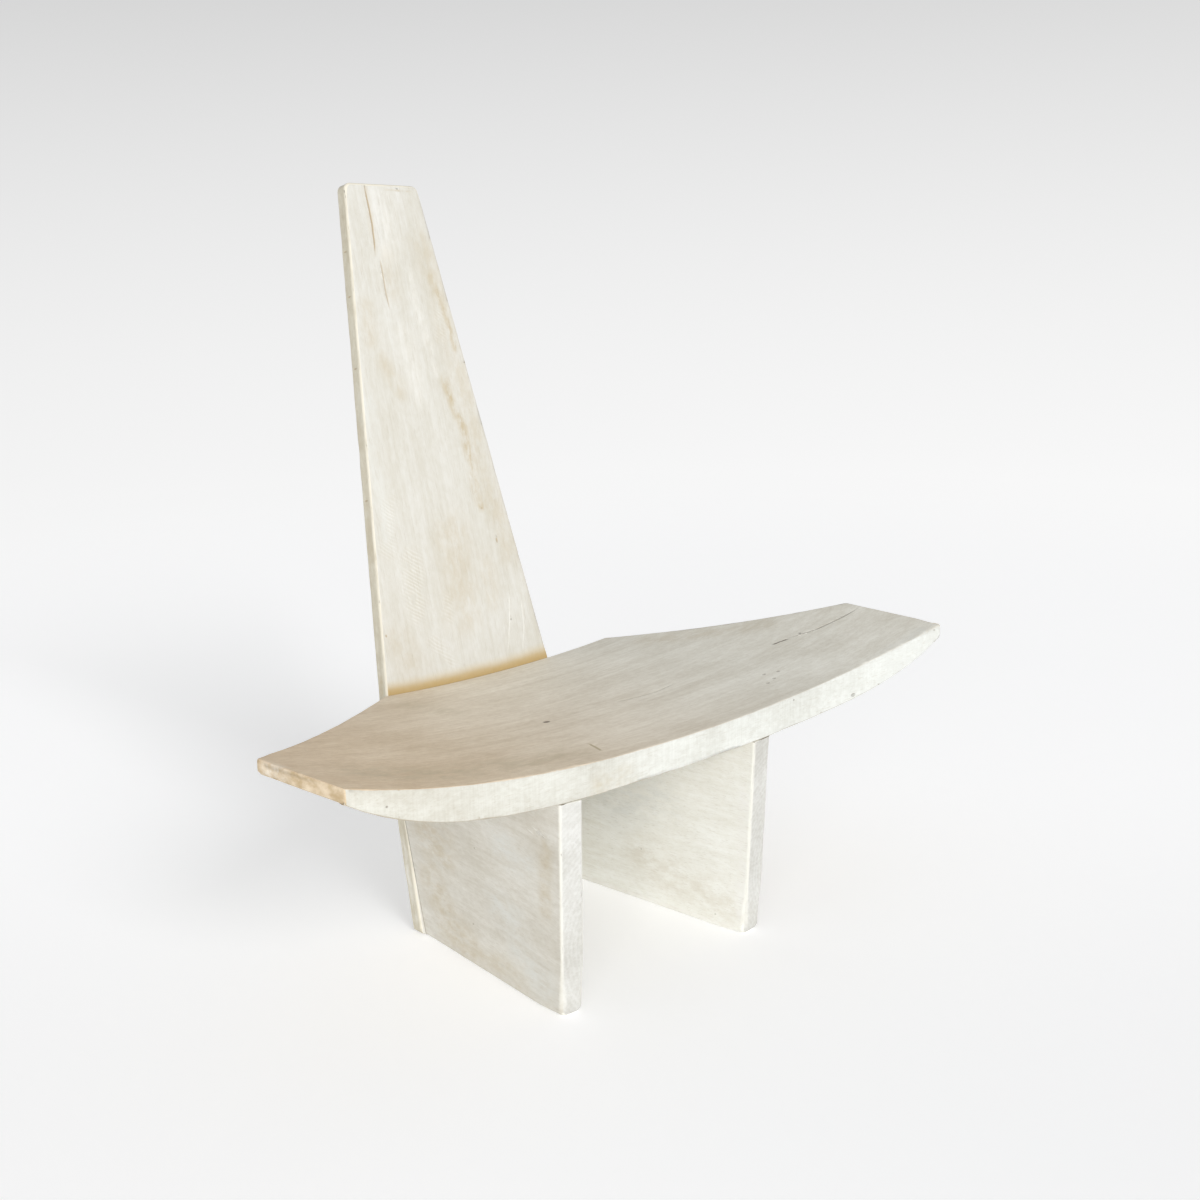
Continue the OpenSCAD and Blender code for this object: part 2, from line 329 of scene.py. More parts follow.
class Graph:
    """Nodes of a material, each made by one short call that gives its output."""

    def __init__(self, name):
        self.material = bpy.data.materials.new(name)
        self.material.use_nodes = True
        self.nodes = self.material.node_tree.nodes
        self.links = self.material.node_tree.links
        self.shader = self.nodes["Principled BSDF"]

    def put(self, value, socket):
        if isinstance(value, bpy.types.NodeSocket):
            self.links.new(value, socket)
        else:
            socket.default_value = value

    def made(self, kind, values, output=0, **settings):
        node = self.nodes.new(kind)
        for name, setting in settings.items():
            setattr(node, name, setting)
        for key, value in values.items():
            self.put(value, node.inputs[key])
        return node.outputs[output]

    def math(self, operation, a, b=0):
        return self.made("ShaderNodeMath", {0: a, 1: b}, operation=operation)

    def times(self, *factors):
        result = factors[0]
        for factor in factors[1:]:
            result = self.math("MULTIPLY", result, factor)
        return result

    def plus(self, *terms):
        result = terms[0]
        for term in terms[1:]:
            result = self.math("ADD", result, term)
        return result

    def scaled(self, place, factors):
        return self.made("ShaderNodeVectorMath", {0: place, 1: factors}, operation="MULTIPLY")

    def along(self, place, direction):
        values = {0: place, 1: direction}
        return self.made("ShaderNodeVectorMath", values, output="Value", operation="DOT_PRODUCT")

    def mix(self, share, a, b):
        return self.made("ShaderNodeMix", {0: share, 6: a, 7: b}, output=2, data_type="RGBA")

    def ramp(self, value, low, high, first=0, last=1):
        values = {0: value, 1: low, 2: high, 3: first, 4: last}
        return self.made("ShaderNodeMapRange", values, interpolation_type="SMOOTHSTEP")

    def noise(self, place, detail=2, roughness=0.5, output=0):
        values = {"Vector": place, "Scale": 1, "Detail": detail, "Roughness": roughness}
        return self.made("ShaderNodeTexNoise", values, output=output)

    def uneven(self, place, rate, spread, detail=2, roughness=0.5):
        """Noise of a rate along each axis, with a range of it spread over 0 to 1."""
        return self.ramp(self.noise(self.scaled(place, rate), detail, roughness), *spread)

    def layer(self, name):
        return self.made("ShaderNodeAttribute", {}, output="Fac", attribute_name=name)

    def place(self):
        return self.made("ShaderNodeTexCoord", {}, output="Object")

    def facing(self, direction, low=0.55, high=0.8):
        """1 where the surface looks along a direction, and 0 where it looks elsewhere."""
        normal = self.made("ShaderNodeNewGeometry", {}, output="Normal")
        return self.ramp(self.along(normal, direction), low, high)


# Floor and light


def floor_material():
    """Matt and paler behind the chair. The far part shines evenly, and fades upwards."""
    graph = Graph("studio_floor")
    level = {0: graph.scaled(graph.place(), (1, 1, 0))}
    away = graph.made("ShaderNodeVectorMath", level, output="Value", operation="LENGTH")
    far = graph.ramp(away, FAR_FROM, FLOOR_RADIUS)
    right, up, forward = camera_axes()
    onward = graph.along(graph.place(), Vector((forward.x, forward.y, 0)).normalized())
    behind = graph.ramp(onward, BEHIND_FROM, BEHIND_TO)
    near_colour = graph.mix(behind, FLOOR_COLOUR, FLOOR_COLOUR_BEHIND)
    near_glow = graph.plus(FLOOR_GLOW, graph.times(behind, FLOOR_GLOW_BEHIND - FLOOR_GLOW))
    graph.put(graph.mix(far, near_colour, FAR_COLOUR), graph.shader.inputs["Base Color"])
    graph.shader.inputs["Roughness"].default_value = FLOOR_ROUGHNESS
    rise = graph.along(graph.place(), UP)
    fade = graph.plus(
        FAR_GLOW,
        graph.times(rise, FAR_FADE),
        graph.times(rise, rise, FAR_FADE_MORE),
        graph.times(graph.along(graph.place(), right), FAR_TILT),
    )
    near = graph.plus(1, graph.times(far, -1))
    glow = graph.plus(graph.times(far, fade), graph.times(near, near_glow))
    graph.shader.inputs["Emission Color"].default_value = (1, 1, 1, 1)
    graph.put(glow, graph.shader.inputs["Emission Strength"])
    return graph.material


def make_floor():
    """Pale floor that sweeps up into a round backdrop."""
    rings = [(radius, 0) for radius in FLOOR_RINGS]
    for k in range(FLOOR_STEPS + 1):
        turn = k / FLOOR_STEPS * math.pi / 2
        radius = FLOOR_RADIUS + FLOOR_BEND * math.sin(turn)
        rings.append((radius, FLOOR_BEND - FLOOR_BEND * math.cos(turn)))
    angles = [2 * math.pi * k / FLOOR_TURNS for k in range(FLOOR_TURNS)]
    shape = bmesh.new()
    loops = []
    for radius, height in rings:
        places = [(radius * math.cos(a), radius * math.sin(a), height) for a in angles]
        loops.append([shape.verts.new(place) for place in places])
    shape.faces.new(loops[0])
    for lit_inner, outer in zip(loops, loops[1:]):
        for k in range(FLOOR_TURNS):
            j = (k + 1) % FLOOR_TURNS
            shape.faces.new((lit_inner[k], outer[k], outer[j], lit_inner[j]))
    for face in shape.faces:
        face.smooth = True
    mesh = bpy.data.meshes.new("studio_floor")
    shape.to_mesh(mesh)
    shape.free()
    mesh.materials.append(floor_material())
    floor = linked("studio_floor", mesh)
    floor.visible_shadow = False


def towards(bearing, height):
    """Direction from the chair to a light. Bearing 0 is in front of the chair, and 90 to its right."""
    turn = math.radians(bearing)
    rise = math.radians(height)
    level = Vector((math.sin(turn), -math.cos(turn), 0))
    return level * math.cos(rise) + UP * math.sin(rise)


def aimed(light, away):
    light.location = LIGHT_TARGET + away * FILL_DISTANCE
    light.rotation_mode = "QUATERNION"
    light.rotation_quaternion = away.to_track_quat("Z", "Y")


def make_light():
    world = bpy.data.worlds.new("studio")
    world.use_nodes = True
    world.node_tree.nodes["Background"].inputs["Color"].default_value = (1, 1, 1, 1)
    world.node_tree.nodes["Background"].inputs["Strength"].default_value = WORLD
    bpy.context.scene.world = world
    key = bpy.data.lights.new("key", "SUN")
    key.energy = KEY
    key.angle = KEY_ANGLE
    aimed(linked("key", key), towards(KEY_BEARING, KEY_HEIGHT))
    fill = bpy.data.lights.new("fill", "AREA")
    fill.size = FILL_SIZE
    fill.energy = FILL
    low = linked("fill", fill)
    low.visible_camera = False
    aimed(low, towards(FILL_BEARING, FILL_HEIGHT))
    bpy.context.scene.view_settings.view_transform = "Standard"


# Slab meshes, each from its CAD node


def behind_back(point):
    """Distance of a point behind the face of the back plank."""
    return (point - BACK_FOOT) @ BACK_IN


def cad_shape(node):
    """Working mesh of a CAD node, with its corners joined and its flat faces whole."""
    shape = bmesh.new()
    shape.from_mesh(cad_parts[node].data)
    bmesh.ops.remove_doubles(shape, verts=shape.verts, dist=WELD)
    bmesh.ops.dissolve_limit(shape, angle_limit=FLAT, verts=shape.verts, edges=shape.edges)
    return shape


def dowel_boxes():
    margin = Vector((BORE_MARGIN,) * 3)
    boxes = [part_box(name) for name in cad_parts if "dowel" in name]
    return [(low - margin, high + margin) for low, high in boxes]


DOWEL_BOXES = dowel_boxes()


def in_bore(point):
    return any(all(low[k] <= point[k] <= high[k] for k in range(3)) for low, high in DOWEL_BOXES)


def rounded_arrises(shape, name, share_of):
    """Mesh with its arrises rounded, each edge by the share that share_of gives it."""
    weight = shape.edges.layers.float.new("bevel_weight_edge")
    shares = {}
    for edge in shape.edges:
        bore = all(in_bore(v.co) for v in edge.verts)
        if edge.is_manifold and edge.calc_face_angle(0) > ARRIS_ANGLE and not bore:
            shares[edge] = share_of(edge)
    widest = max(shares.values())
    for edge, share in shares.items():
        edge[weight] = share / widest
    mesh = bpy.data.meshes.new(name)
    shape.to_mesh(mesh)
    shape.free()
    for k in range(ARRIS_FACES + 1):
        mesh.materials.append(None)
    blank = linked(name, mesh)
    bevel = blank.modifiers.new("arrises", "BEVEL")
    bevel.limit_method = "WEIGHT"
    bevel.width = ARRIS * widest
    bevel.segments = ARRIS_SEGMENTS
    bevel.material = ARRIS_FACES
    bevel.use_clamp_overlap = False
    rounded = bmesh.new()
    rounded.from_object(blank, bpy.context.evaluated_depsgraph_get())
    bpy.data.objects.remove(blank)
    return rounded


def with_parts(faces):
    """Faces with their edges and corners, as the cutting operators take them."""
    edges = {e for f in faces for e in f.edges}
    verts = {v for f in faces for v in f.verts}
    return [*verts, *edges, *faces]


def sliced(shape, axis, faces):
    """Cuts faces across an axis at even steps."""
    places = [v.co @ axis for v in shape.verts]
    low = min(places)
    high = max(places)
    count = int((high - low) / GRID)
    geom = with_parts(faces)
    for k in range(1, count + 1):
        place = axis * (low + (high - low) * k / (count + 1))
        cut = bmesh.ops.bisect_plane(shape, geom=geom, dist=WELD, plane_co=place, plane_no=axis)
        geom = cut["geom"]


def gridded(shape, along, across, thick):
    """Cuts a slab into a fine grid, along, across and through its thickness."""
    sliced(shape, along, shape.faces[:])
    sliced(shape, across, shape.faces[:])
    sliced(shape, thick, [f for f in shape.faces if abs(f.normal @ thick) < THICK_SLOPE])


def arris_verts(shape):
    """Corners that lie wholly on a rounded arris."""
    touched = {v for f in shape.faces if f.material_index == ARRIS_FACES for v in f.verts}
    return {v for v in touched if all(f.material_index == ARRIS_FACES for f in v.link_faces)}


def smoothed(shape, free):
    """Relaxes the flat steps of curved faces, and leaves the arrises and what is held."""
    arris = {v for f in shape.faces if f.material_index == ARRIS_FACES for v in f.verts}
    loose = [v for v in shape.verts if v not in arris and free(v.co) > FREE]
    for k in range(SMOOTHINGS):
        bmesh.ops.smooth_vert(
            shape, verts=loose, factor=0.5, use_axis_x=True, use_axis_y=True, use_axis_z=True
        )


def surface_of(node, wanted):
    """The faces of a CAD node that are wanted, ready to be searched."""
    shape = bmesh.new()
    shape.from_mesh(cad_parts[node].data)
    bmesh.ops.delete(shape, geom=[f for f in shape.faces if not wanted(f)], context="FACES_ONLY")
    surface = BVHTree.FromBMesh(shape)
    shape.free()
    return surface


def rounded_over(shape, node, is_cap, radius_at):
    """Rounds the arris between a node's walls and its cap, by a radius that may change along it."""
    walls = surface_of(node, lambda f: abs(f.normal.z) < WALL_SLOPE and not on_back(f))
    caps = surface_of(node, is_cap)
    for vert in shape.verts:
        radius = radius_at(vert.co)
        if radius < LEAST_ROUND:
            continue
        wall_out, wall_gap = walls.find_nearest(vert.co)[1::2]
        cap_out, cap_gap = caps.find_nearest(vert.co)[1::2]
        past_wall = max(radius - wall_gap, 0)
        past_cap = max(radius - cap_gap, 0)
        past = math.hypot(past_wall, past_cap)
        if past > radius:
            back = 1 - radius / past
            vert.co -= wall_out * past_wall * back + cap_out * past_cap * back


def flat_side(node, direction):
    """Place and outward direction of a CAD node's widest face that looks along a direction."""
    faces = [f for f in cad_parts[node].data.polygons if f.normal @ direction > STRAIGHT_ON]
    widest = max(faces, key=lambda f: f.area)
    return widest.center.copy(), widest.normal.copy()


def rounded_off(shape, sides, radius_at):
    """Rounds the arrises between flat sides, and notes for the material which are worn."""
    for place, out in sides:
        cut_across(shape, shape.faces[:], place, out, ROUND_STEPS)
    arris = float_layer(shape, "arris")
    for vert in shape.verts:
        radius = radius_at(vert.co)
        past = Vector()
        for place, out in sides:
            past += out * max(radius + (vert.co - place) @ out, 0)
        if past.length > radius:
            high_up = ramp(vert.co.z, WORN_FROM, WORN_TO)
            vert[arris] = high_up * ramp(past.length / radius, 1, WORN_TURN)
            vert.co -= past * (1 - radius / past.length)


def ramp(value, low, high):
    """Smooth rise from 0 at low to 1 at high."""
    t = min(max((value - low) / (high - low), 0), 1)
    return t * t * (3 - 2 * t)


def hand_worked(shape, free, seed):
    """Sinks faces and arrises a little, unevenly, as hand tools leave them."""
    shape.normal_update()
    arris = arris_verts(shape)
    worn = float_layer(shape, "arris")
    shift = Vector((seed, 2 * seed, 3 * seed))
    moves = []
    for vert in shape.verts:
        slow = noise.noise(vert.co / SLOW_WAVE + shift)
        quick = noise.noise(vert.co / QUICK_WAVE - shift)
        sink = (0.5 + 0.5 * slow) * SLOW_SINK + (0.5 + 0.5 * quick) * QUICK_SINK
        rub = noise.noise(vert.co / RUB_WAVE + shift * 2)
        sink += max(rub, 0) * RUB_SINK * (1 if vert in arris else vert[worn])
        moves.append(vert.normal * -sink * free(vert.co))
    for vert, move in zip(shape.verts, moves):
        vert.co += move


# Cracks, pits and painted marks


def float_layer(shape, name):
    layers = shape.verts.layers.float
    return layers.get(name) or layers.new(name)


def nearest(point, path):
    """Distance of a point from a path, and the share of the path before its nearest place."""
    whole = sum((b - a).length for a, b in zip(path, path[1:]))
    best = (math.inf, 0)
    done = 0
    for a, b in zip(path, path[1:]):
        step = b - a
        t = min(max((point - a) @ step / step.length_squared, 0), 1)
        gap = (point - a - step * t).length
        best = min(best, (gap, (done + step.length * t) / whole))
        done += step.length
    return best


def verts_near(shape, path, reach):
    low = [min(p[k] for p in path) - reach for k in range(3)]
    high = [max(p[k] for p in path) + reach for k in range(3)]
    return [v for v in shape.verts if all(low[k] <= v.co[k] <= high[k] for k in range(3))]


def faces_near(shape, path, out, reach):
    """Faces near a path that look the same way as it does."""
    shape.normal_update()
    ends = verts_near(shape, path, reach)
    faces = {f for v in ends for f in v.link_faces if f.normal @ out > SAME_WAY}
    return [f for f in faces if nearest(f.calc_center_median(), path)[0] < reach]


def cut_across(shape, faces, place, side, shifts):
    """Cuts faces with a row of planes, each shifted to the side by its own distance."""
    geom = with_parts(faces)
    for shift in shifts:
        cut = bmesh.ops.bisect_plane(
            shape, geom=geom, dist=WELD, plane_co=place + side * shift, plane_no=side
        )
        geom = cut["geom"]


def cut_crack(shape, node, pixels, width, depth, layer_name="crack", strength=1):
    """Opens a V along a path, shallow at its ends, and marks it in a layer."""
    out = struck(node, pixels[len(pixels) // 2])[1]
    path = seen(node, pixels)
    shifts = [width * k / 4 for k in range(-2, 3)]
    for a, b in zip(path, path[1:]):
        side = (b - a).cross(out).normalized()
        cut_across(shape, faces_near(shape, [a, b], out, GRID), a, side, shifts)
    layer = float_layer(shape, layer_name)
    level = [p - out * (p @ out) for p in path]
    for vert in verts_near(shape, path, GRID):
        gap, share = nearest(vert.co - out * (vert.co @ out), level)
        if gap < CRACK_REACH * width and nearest(vert.co, path)[0] < GRID:
            taper = ramp(share, 0, CRACK_TAPER) * ramp(1 - share, 0, CRACK_TAPER)
            vert.co -= out * depth * taper * (1 - gap / (0.5 * width))
            vert[layer] = strength * max(taper, CRACK_LEAST)


def sink_pit(shape, node, pixel, along, size, strength):
    """Sinks a dark oval hollow. Its size is half its length, half its width and its depth."""
    half_long, half_wide, depth = size
    centre, out = struck(node, pixel)
    long_way = (along - out * (along @ out)).normalized()
    wide_way = long_way.cross(out)
    reach = half_long + GRID
    steps = [k / 4 for k in range(-4, 5)]
    spot = [centre, centre + long_way * WELD]
    for way, half in ((long_way, half_long), (wide_way, half_wide)):
        faces = faces_near(shape, spot, out, reach)
        cut_across(shape, faces, centre, way, [step * half for step in steps])
    layer = float_layer(shape, "crack")
    for vert in verts_near(shape, spot, reach):
        from_centre = vert.co - centre
        far = math.hypot(from_centre @ long_way / half_long, from_centre @ wide_way / half_wide)
        if far < 1 and abs(from_centre @ out) < half_long:
            vert.co -= out * depth * ramp(1 - far, 0, PIT_WALL)
            vert[layer] = max(vert[layer], strength * ramp(1 - far, 0, PIT_RIM))


def painted(shape, node, pixels, layer_name, half_width, strength):
    """Marks a soft band along a path in a layer."""
    layer = float_layer(shape, layer_name)
    path = seen(node, pixels)
    for vert in verts_near(shape, path, half_width):
        share = strength * (1 - ramp(nearest(vert.co, path)[0], 0, half_width))
        vert[layer] = max(vert[layer], share)


def marked_arrises(shape, in_joint, worn=1):
    """Notes for the material which corners lie on a worn arris, and which beside a joint."""
    arris = float_layer(shape, "arris")
    seam = float_layer(shape, "seam")
    for vert in arris_verts(shape):
        if in_joint(vert.co):
            open_joint = ramp(noise.noise(vert.co / SEAM_LENGTH), SEAM_OPEN_FROM, SEAM_OPEN_TO)
            vert[seam] = SEAM_LEAST + (1 - SEAM_LEAST) * open_joint
            vert[arris] = 0
        elif vert.co.z > BACK_FOOT_ROUND:
            vert[arris] = worn


def finished(shape, node, material):
    """Makes the working mesh the piece that stands for its CAD node."""
    bmesh.ops.triangulate(shape, faces=[f for f in shape.faces if len(f.verts) > 4])
    for vert in shape.verts:
        vert.co.z = max(vert.co.z, 0)
    for face in shape.faces:
        face.smooth = True
        face.material_index = 0
    mesh = bpy.data.meshes.new(node + "_wood")
    shape.to_mesh(mesh)
    shape.free()
    mesh.materials.append(material)
    piece = linked(node + "_wood", mesh)
    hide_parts(node)
    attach(piece, "root")


def on_back(face):
    """Whether a face lies on the face of the back plank."""
    return all(abs(behind_back(v.co)) < ON_BACK for v in face.verts)


def seat_share(edge):
    """Rounding of the seat's edges, which grows on the tips and is small at the back plank."""
    if any(on_back(f) for f in edge.link_faces):
        return JOINT_SHARE
    upright = [f for f in edge.link_faces if abs(f.normal.z) < UPRIGHT_SLOPE]
    endwise = max((abs(f.normal.x) for f in upright), default=0)
    if any(f.normal.z < -THICK_SLOPE for f in edge.link_faces):
        return SEAT_LOW_SHARE + SEAT_END_MORE * endwise ** 2
    return SEAT_SHARE


def leg_share(edge):
    """Rounding of a leg's edges in its joints. Its other edges are rounded off later."""
    if any(on_back(f) for f in edge.link_faces):
        return LEG_REAR_SHARE
    return JOINT_SHARE if any(f.normal.z > THICK_SLOPE for f in edge.link_faces) else 0


def back_share(edge):
    height = sum(v.co.z for v in edge.verts) / 2
    return FOOT_SHARE if height < BACK_FOOT_ROUND else BACK_SHARE


def clear_of_back(point):
    return ramp(-behind_back(point), HELD, BACK_CLEAR)


def over_leg(point):
    """Whether a point of the seat lies where a leg bears on it."""
    return any(
        low.x - GRID < point.x < high.x + GRID and low.y - GRID < point.y < high.y + GRID
        for low, high in LEG_BOXES
    ) and point.z < LEG_TOP + TOP_HELD


def seat_free(point):
    """How far a point of the seat may move: not where the back and the legs meet it."""
    return 0 if over_leg(point) else clear_of_back(point)


def leg_free(point):
    """How far a point of a leg may move: not at the floor, the seat or the back."""
    above_floor = ramp(point.z, HELD, FLOOR_CLEAR)
    below_seat = ramp(LEG_TOP - point.z, TOP_HELD, TOP_CLEAR)
    return clear_of_back(point) * above_floor * below_seat


def back_free(point):
    """How far a point of the plank may move: not at the floor, the legs or the seat."""
    above_floor = ramp(point.z, HELD, FLOOR_CLEAR)
    above_seat = ramp(point.z, SEAT_JOINT_TOP, SEAT_JOINT_TOP + SEAT_CLEAR)
    behind = ramp(behind_back(point), SIDE_HELD, SIDE_CLEAR)
    return above_floor * max(above_seat, behind)


def tip_radius(point):
    """Rounding of the seat's two outer corners, which are worn blunt."""
    gap = min((point - corner).length for corner in BLUNT_CORNERS)
    return TIP_ROUND * (1 - ramp(gap, TIP_NEAR, TIP_FAR))


def foot_radius(point):
    return BACK_FOOT_ROUND


def is_floor_face(face):
    return face.normal.z < -STRAIGHT_ON


def beside_back(point):
    return behind_back(point) > -SEAM_REACH


def beside_seat_or_back(point):
    """Whether a point of a leg lies in its joint with the seat or with the back."""
    under_seat = SURFACES[SEAT].ray_cast(point, UP, SEAM_REACH)[0] is not None
    return under_seat or beside_back(point)


def nowhere(point):
    return False


# Wood


WANDER_RATE = (1.6, 7, 7)
WANDER_REACH = (0, 26 * MM, 26 * MM)
STRIPE_RATE = (1.4, 42, 42)
FINE_RATE = (9, 150, 150)
PORE_RATE = (38, 1000, 1000)
BLOTCH_RATE = (7, 11, 11)
SPECK_RATE = (80, 150, 150)
ARRIS_CREAM = (0.75, 0.71, 0.6, 1)
ARRIS_WHITE = (0.7, 0.69, 0.63, 1)
ARRIS_RUB_RATE = (30, 30, 30)
CLOUD_RATE = (30, 60, 60)
PALE_TONE = (0.84, 0.83, 0.79, 1)
WARM_TONE = (0.5, 0.42, 0.28, 1)
COOL_TONE = (0.66, 0.67, 0.635, 1)
SEAM_TONE = (0.13, 0.1, 0.06, 1)
PORE_TONE = (0.34, 0.27, 0.17, 1)
SOFT_RANGE = (0.3, 0.7)
SHARP_RANGE = (0.35, 0.65)
PORE_RANGE = (0.6, 0.72)
PORE_SHARE = 0.2
STRIPE_SHARE = 0.2
FINE_SHARE = 0.28
BLOTCH_SHARE = 0.32
SPECK_SHARE = 0.2
MARK_CLOUD = 0.9
MARK_FINE = 0.35
ARRIS_RUB_FROM = 0.3
ARRIS_RUB_TO = 0.6
ARRIS_RUB_LEAST = 0.35
ROUGHNESS = 0.5
ROUGH_BLOTCH = 0.14
ROUGH_FINE = 0.1
BUMP_STRENGTH = 0.6
BUMP_FINE = 0.1
BUMP_STRIPE = 0.08
BUMP_PORE = -0.12
BUMP_SPECK = 0.12


class Grain:
    """Wood grain on a slab, as values from 0 to 1 that its colours and its bumps share."""

    def __init__(self, graph, along, across, through):
        turn = Matrix((along, across, through)).transposed().to_euler()
        values = {"Vector": graph.place(), "Rotation": turn}
        straight = graph.made("ShaderNodeMapping", values, vector_type="TEXTURE")
        wander = graph.noise(graph.scaled(straight, WANDER_RATE), output="Color")
        wavy = {0: wander, 1: WANDER_REACH, 2: straight}
        self.place = graph.made("ShaderNodeVectorMath", wavy, operation="MULTIPLY_ADD")
        self.stripes = graph.uneven(self.place, STRIPE_RATE, SOFT_RANGE, detail=3)
        self.fine = graph.uneven(self.place, FINE_RATE, SOFT_RANGE, detail=4, roughness=0.65)
        self.pores = graph.uneven(self.place, PORE_RATE, PORE_RANGE, detail=1)
        self.blotch = graph.uneven(self.place, BLOTCH_RATE, SOFT_RANGE, detail=4, roughness=0.6)
        self.speck = graph.uneven(self.place, SPECK_RATE, SHARP_RANGE, detail=3, roughness=0.7)
        self.share = graph.plus(
            graph.times(self.stripes, STRIPE_SHARE),
            graph.times(self.fine, FINE_SHARE),
            graph.times(self.blotch, BLOTCH_SHARE),
            graph.times(self.speck, SPECK_SHARE),
        )

    def tone(self, graph, dark, light):
        return graph.mix(self.share, dark, light)


def finish_wood(graph, grain, colour, crack_tone, arris_tone, relief):
    """Adds the marks, the arrises and the pores to a slab's colour, and sets its shader."""
    cloud = graph.uneven(grain.place, CLOUD_RATE, SHARP_RANGE, detail=4, roughness=0.7)
    ragged = graph.plus(graph.times(cloud, MARK_CLOUD), graph.times(grain.fine, MARK_FINE))
    colour = graph.mix(graph.times(graph.layer("warm"), ragged), colour, WARM_TONE)
    colour = graph.mix(graph.times(graph.layer("cool"), ragged), colour, COOL_TONE)
    colour = graph.mix(graph.times(graph.layer("pale"), ragged), colour, PALE_TONE)
    colour = graph.mix(graph.times(grain.pores, PORE_SHARE), colour, PORE_TONE)
    rub = graph.noise(graph.scaled(graph.place(), ARRIS_RUB_RATE), detail=3)
    rubbed = graph.ramp(rub, ARRIS_RUB_FROM, ARRIS_RUB_TO, ARRIS_RUB_LEAST, 1)
    colour = graph.mix(graph.times(graph.layer("arris"), rubbed), colour, arris_tone)
    colour = graph.mix(graph.layer("crack"), colour, crack_tone)
    colour = graph.mix(graph.layer("seam"), colour, SEAM_TONE)
    graph.put(colour, graph.shader.inputs["Base Color"])
    rough = graph.plus(
        ROUGHNESS,
        graph.times(grain.blotch, ROUGH_BLOTCH),
        graph.times(grain.fine, ROUGH_FINE),
    )
    graph.put(rough, graph.shader.inputs["Roughness"])
    height = graph.plus(
        graph.times(grain.fine, BUMP_FINE),
        graph.times(grain.stripes, BUMP_STRIPE),
        graph.times(grain.pores, BUMP_PORE),
        graph.times(grain.speck, BUMP_SPECK),
        relief,
    )
    values = {"Strength": BUMP_STRENGTH, "Distance": 1 * MM, "Height": height}
    bump = graph.made("ShaderNodeBump", values)
    graph.put(bump, graph.shader.inputs["Normal"])
    return graph.material


# Seat wood
SEAT_EDGE_DARK = (0.46, 0.435, 0.365, 1)
SEAT_EDGE_LIGHT = (0.62, 0.615, 0.56, 1)
SEAT_EDGE_COLD_DARK = (0.57, 0.57, 0.52, 1)
SEAT_EDGE_COLD_LIGHT = (0.75, 0.765, 0.73, 1)
SEAT_TAN_DARK = (0.6, 0.44, 0.27, 1)
SEAT_TAN_LIGHT = (0.86, 0.72, 0.54, 1)
SEAT_GREY_DARK = (0.63, 0.595, 0.505, 1)
SEAT_GREY_LIGHT = (0.87, 0.86, 0.79, 1)
# Painted shade on the seat's downward faces, which draws a dark line under its lower arris
SEAT_UNDER_SHADE_TONE = (0.42, 0.35, 0.24, 1)
SEAT_GREY_FROM = 250 * MM
SEAT_COLD_FROM = 60 * MM
SEAT_COLD_TO = 420 * MM
SEAT_END_DARK = (0.46, 0.34, 0.19, 1)
SEAT_END_LIGHT = (0.72, 0.6, 0.44, 1)
SEAT_CRACK_TONE = (0.07, 0.05, 0.03, 1)
SAW_RATE = (330, 330, 14)
SAW_SHARE = 0.15
SAW_RELIEF = 0.1
EDGE_BLOTCH = 0.55
EDGE_SPECK = 0.3
UNDER_FROM = 0.3
UNDER_TO = 0.75
UNDER_SHADE_SHARE = 0.7
END_RATE = (40, 40, 60)


def seat_wood():
    """Tan and waxed on top, cream on its sawn edges, and warm on its end grain."""
    graph = Graph("limed_seat_wood")
    grain = Grain(graph, ACROSS, BACKWARD, UP)
    rightward = graph.along(graph.place(), ACROSS)
    greyer = graph.ramp(rightward, SEAT_ENDS[0], SEAT_ENDS[1] - SEAT_GREY_FROM)
    tan = grain.tone(graph, SEAT_TAN_DARK, SEAT_TAN_LIGHT)
    grey = grain.tone(graph, SEAT_GREY_DARK, SEAT_GREY_LIGHT)
    top = graph.mix(greyer, tan, grey)
    saw = graph.uneven(graph.place(), SAW_RATE, SHARP_RANGE)
    mottle = graph.plus(graph.times(grain.blotch, EDGE_BLOTCH), graph.times(grain.speck, EDGE_SPECK))
    share = graph.plus(graph.times(saw, SAW_SHARE), mottle)
    colder = graph.ramp(rightward, SEAT_ENDS[0] + SEAT_COLD_FROM, SEAT_ENDS[1] - SEAT_COLD_TO)
    edge_dark = graph.mix(colder, SEAT_EDGE_DARK, SEAT_EDGE_COLD_DARK)
    edge_light = graph.mix(colder, SEAT_EDGE_LIGHT, SEAT_EDGE_COLD_LIGHT)
    edge = graph.mix(share, edge_dark, edge_light)
    patchy = graph.uneven(graph.place(), END_RATE, SOFT_RANGE, detail=3, roughness=0.6)
    end = graph.mix(patchy, SEAT_END_DARK, SEAT_END_LIGHT)
    colour = graph.mix(graph.facing(UP), edge, top)
    # Painted shade on the faces that look down
    under_shade = graph.times(graph.facing(-UP, UNDER_FROM, UNDER_TO), UNDER_SHADE_SHARE)
    colour = graph.mix(under_shade, colour, SEAT_UNDER_SHADE_TONE)
    endwise = graph.math("MAXIMUM", graph.facing(ACROSS), graph.facing(-ACROSS))
    colour = graph.mix(endwise, colour, end)
    relief = graph.times(saw, graph.facing(-BACKWARD), SAW_RELIEF)
    return finish_wood(graph, grain, colour, SEAT_CRACK_TONE, ARRIS_CREAM, relief)


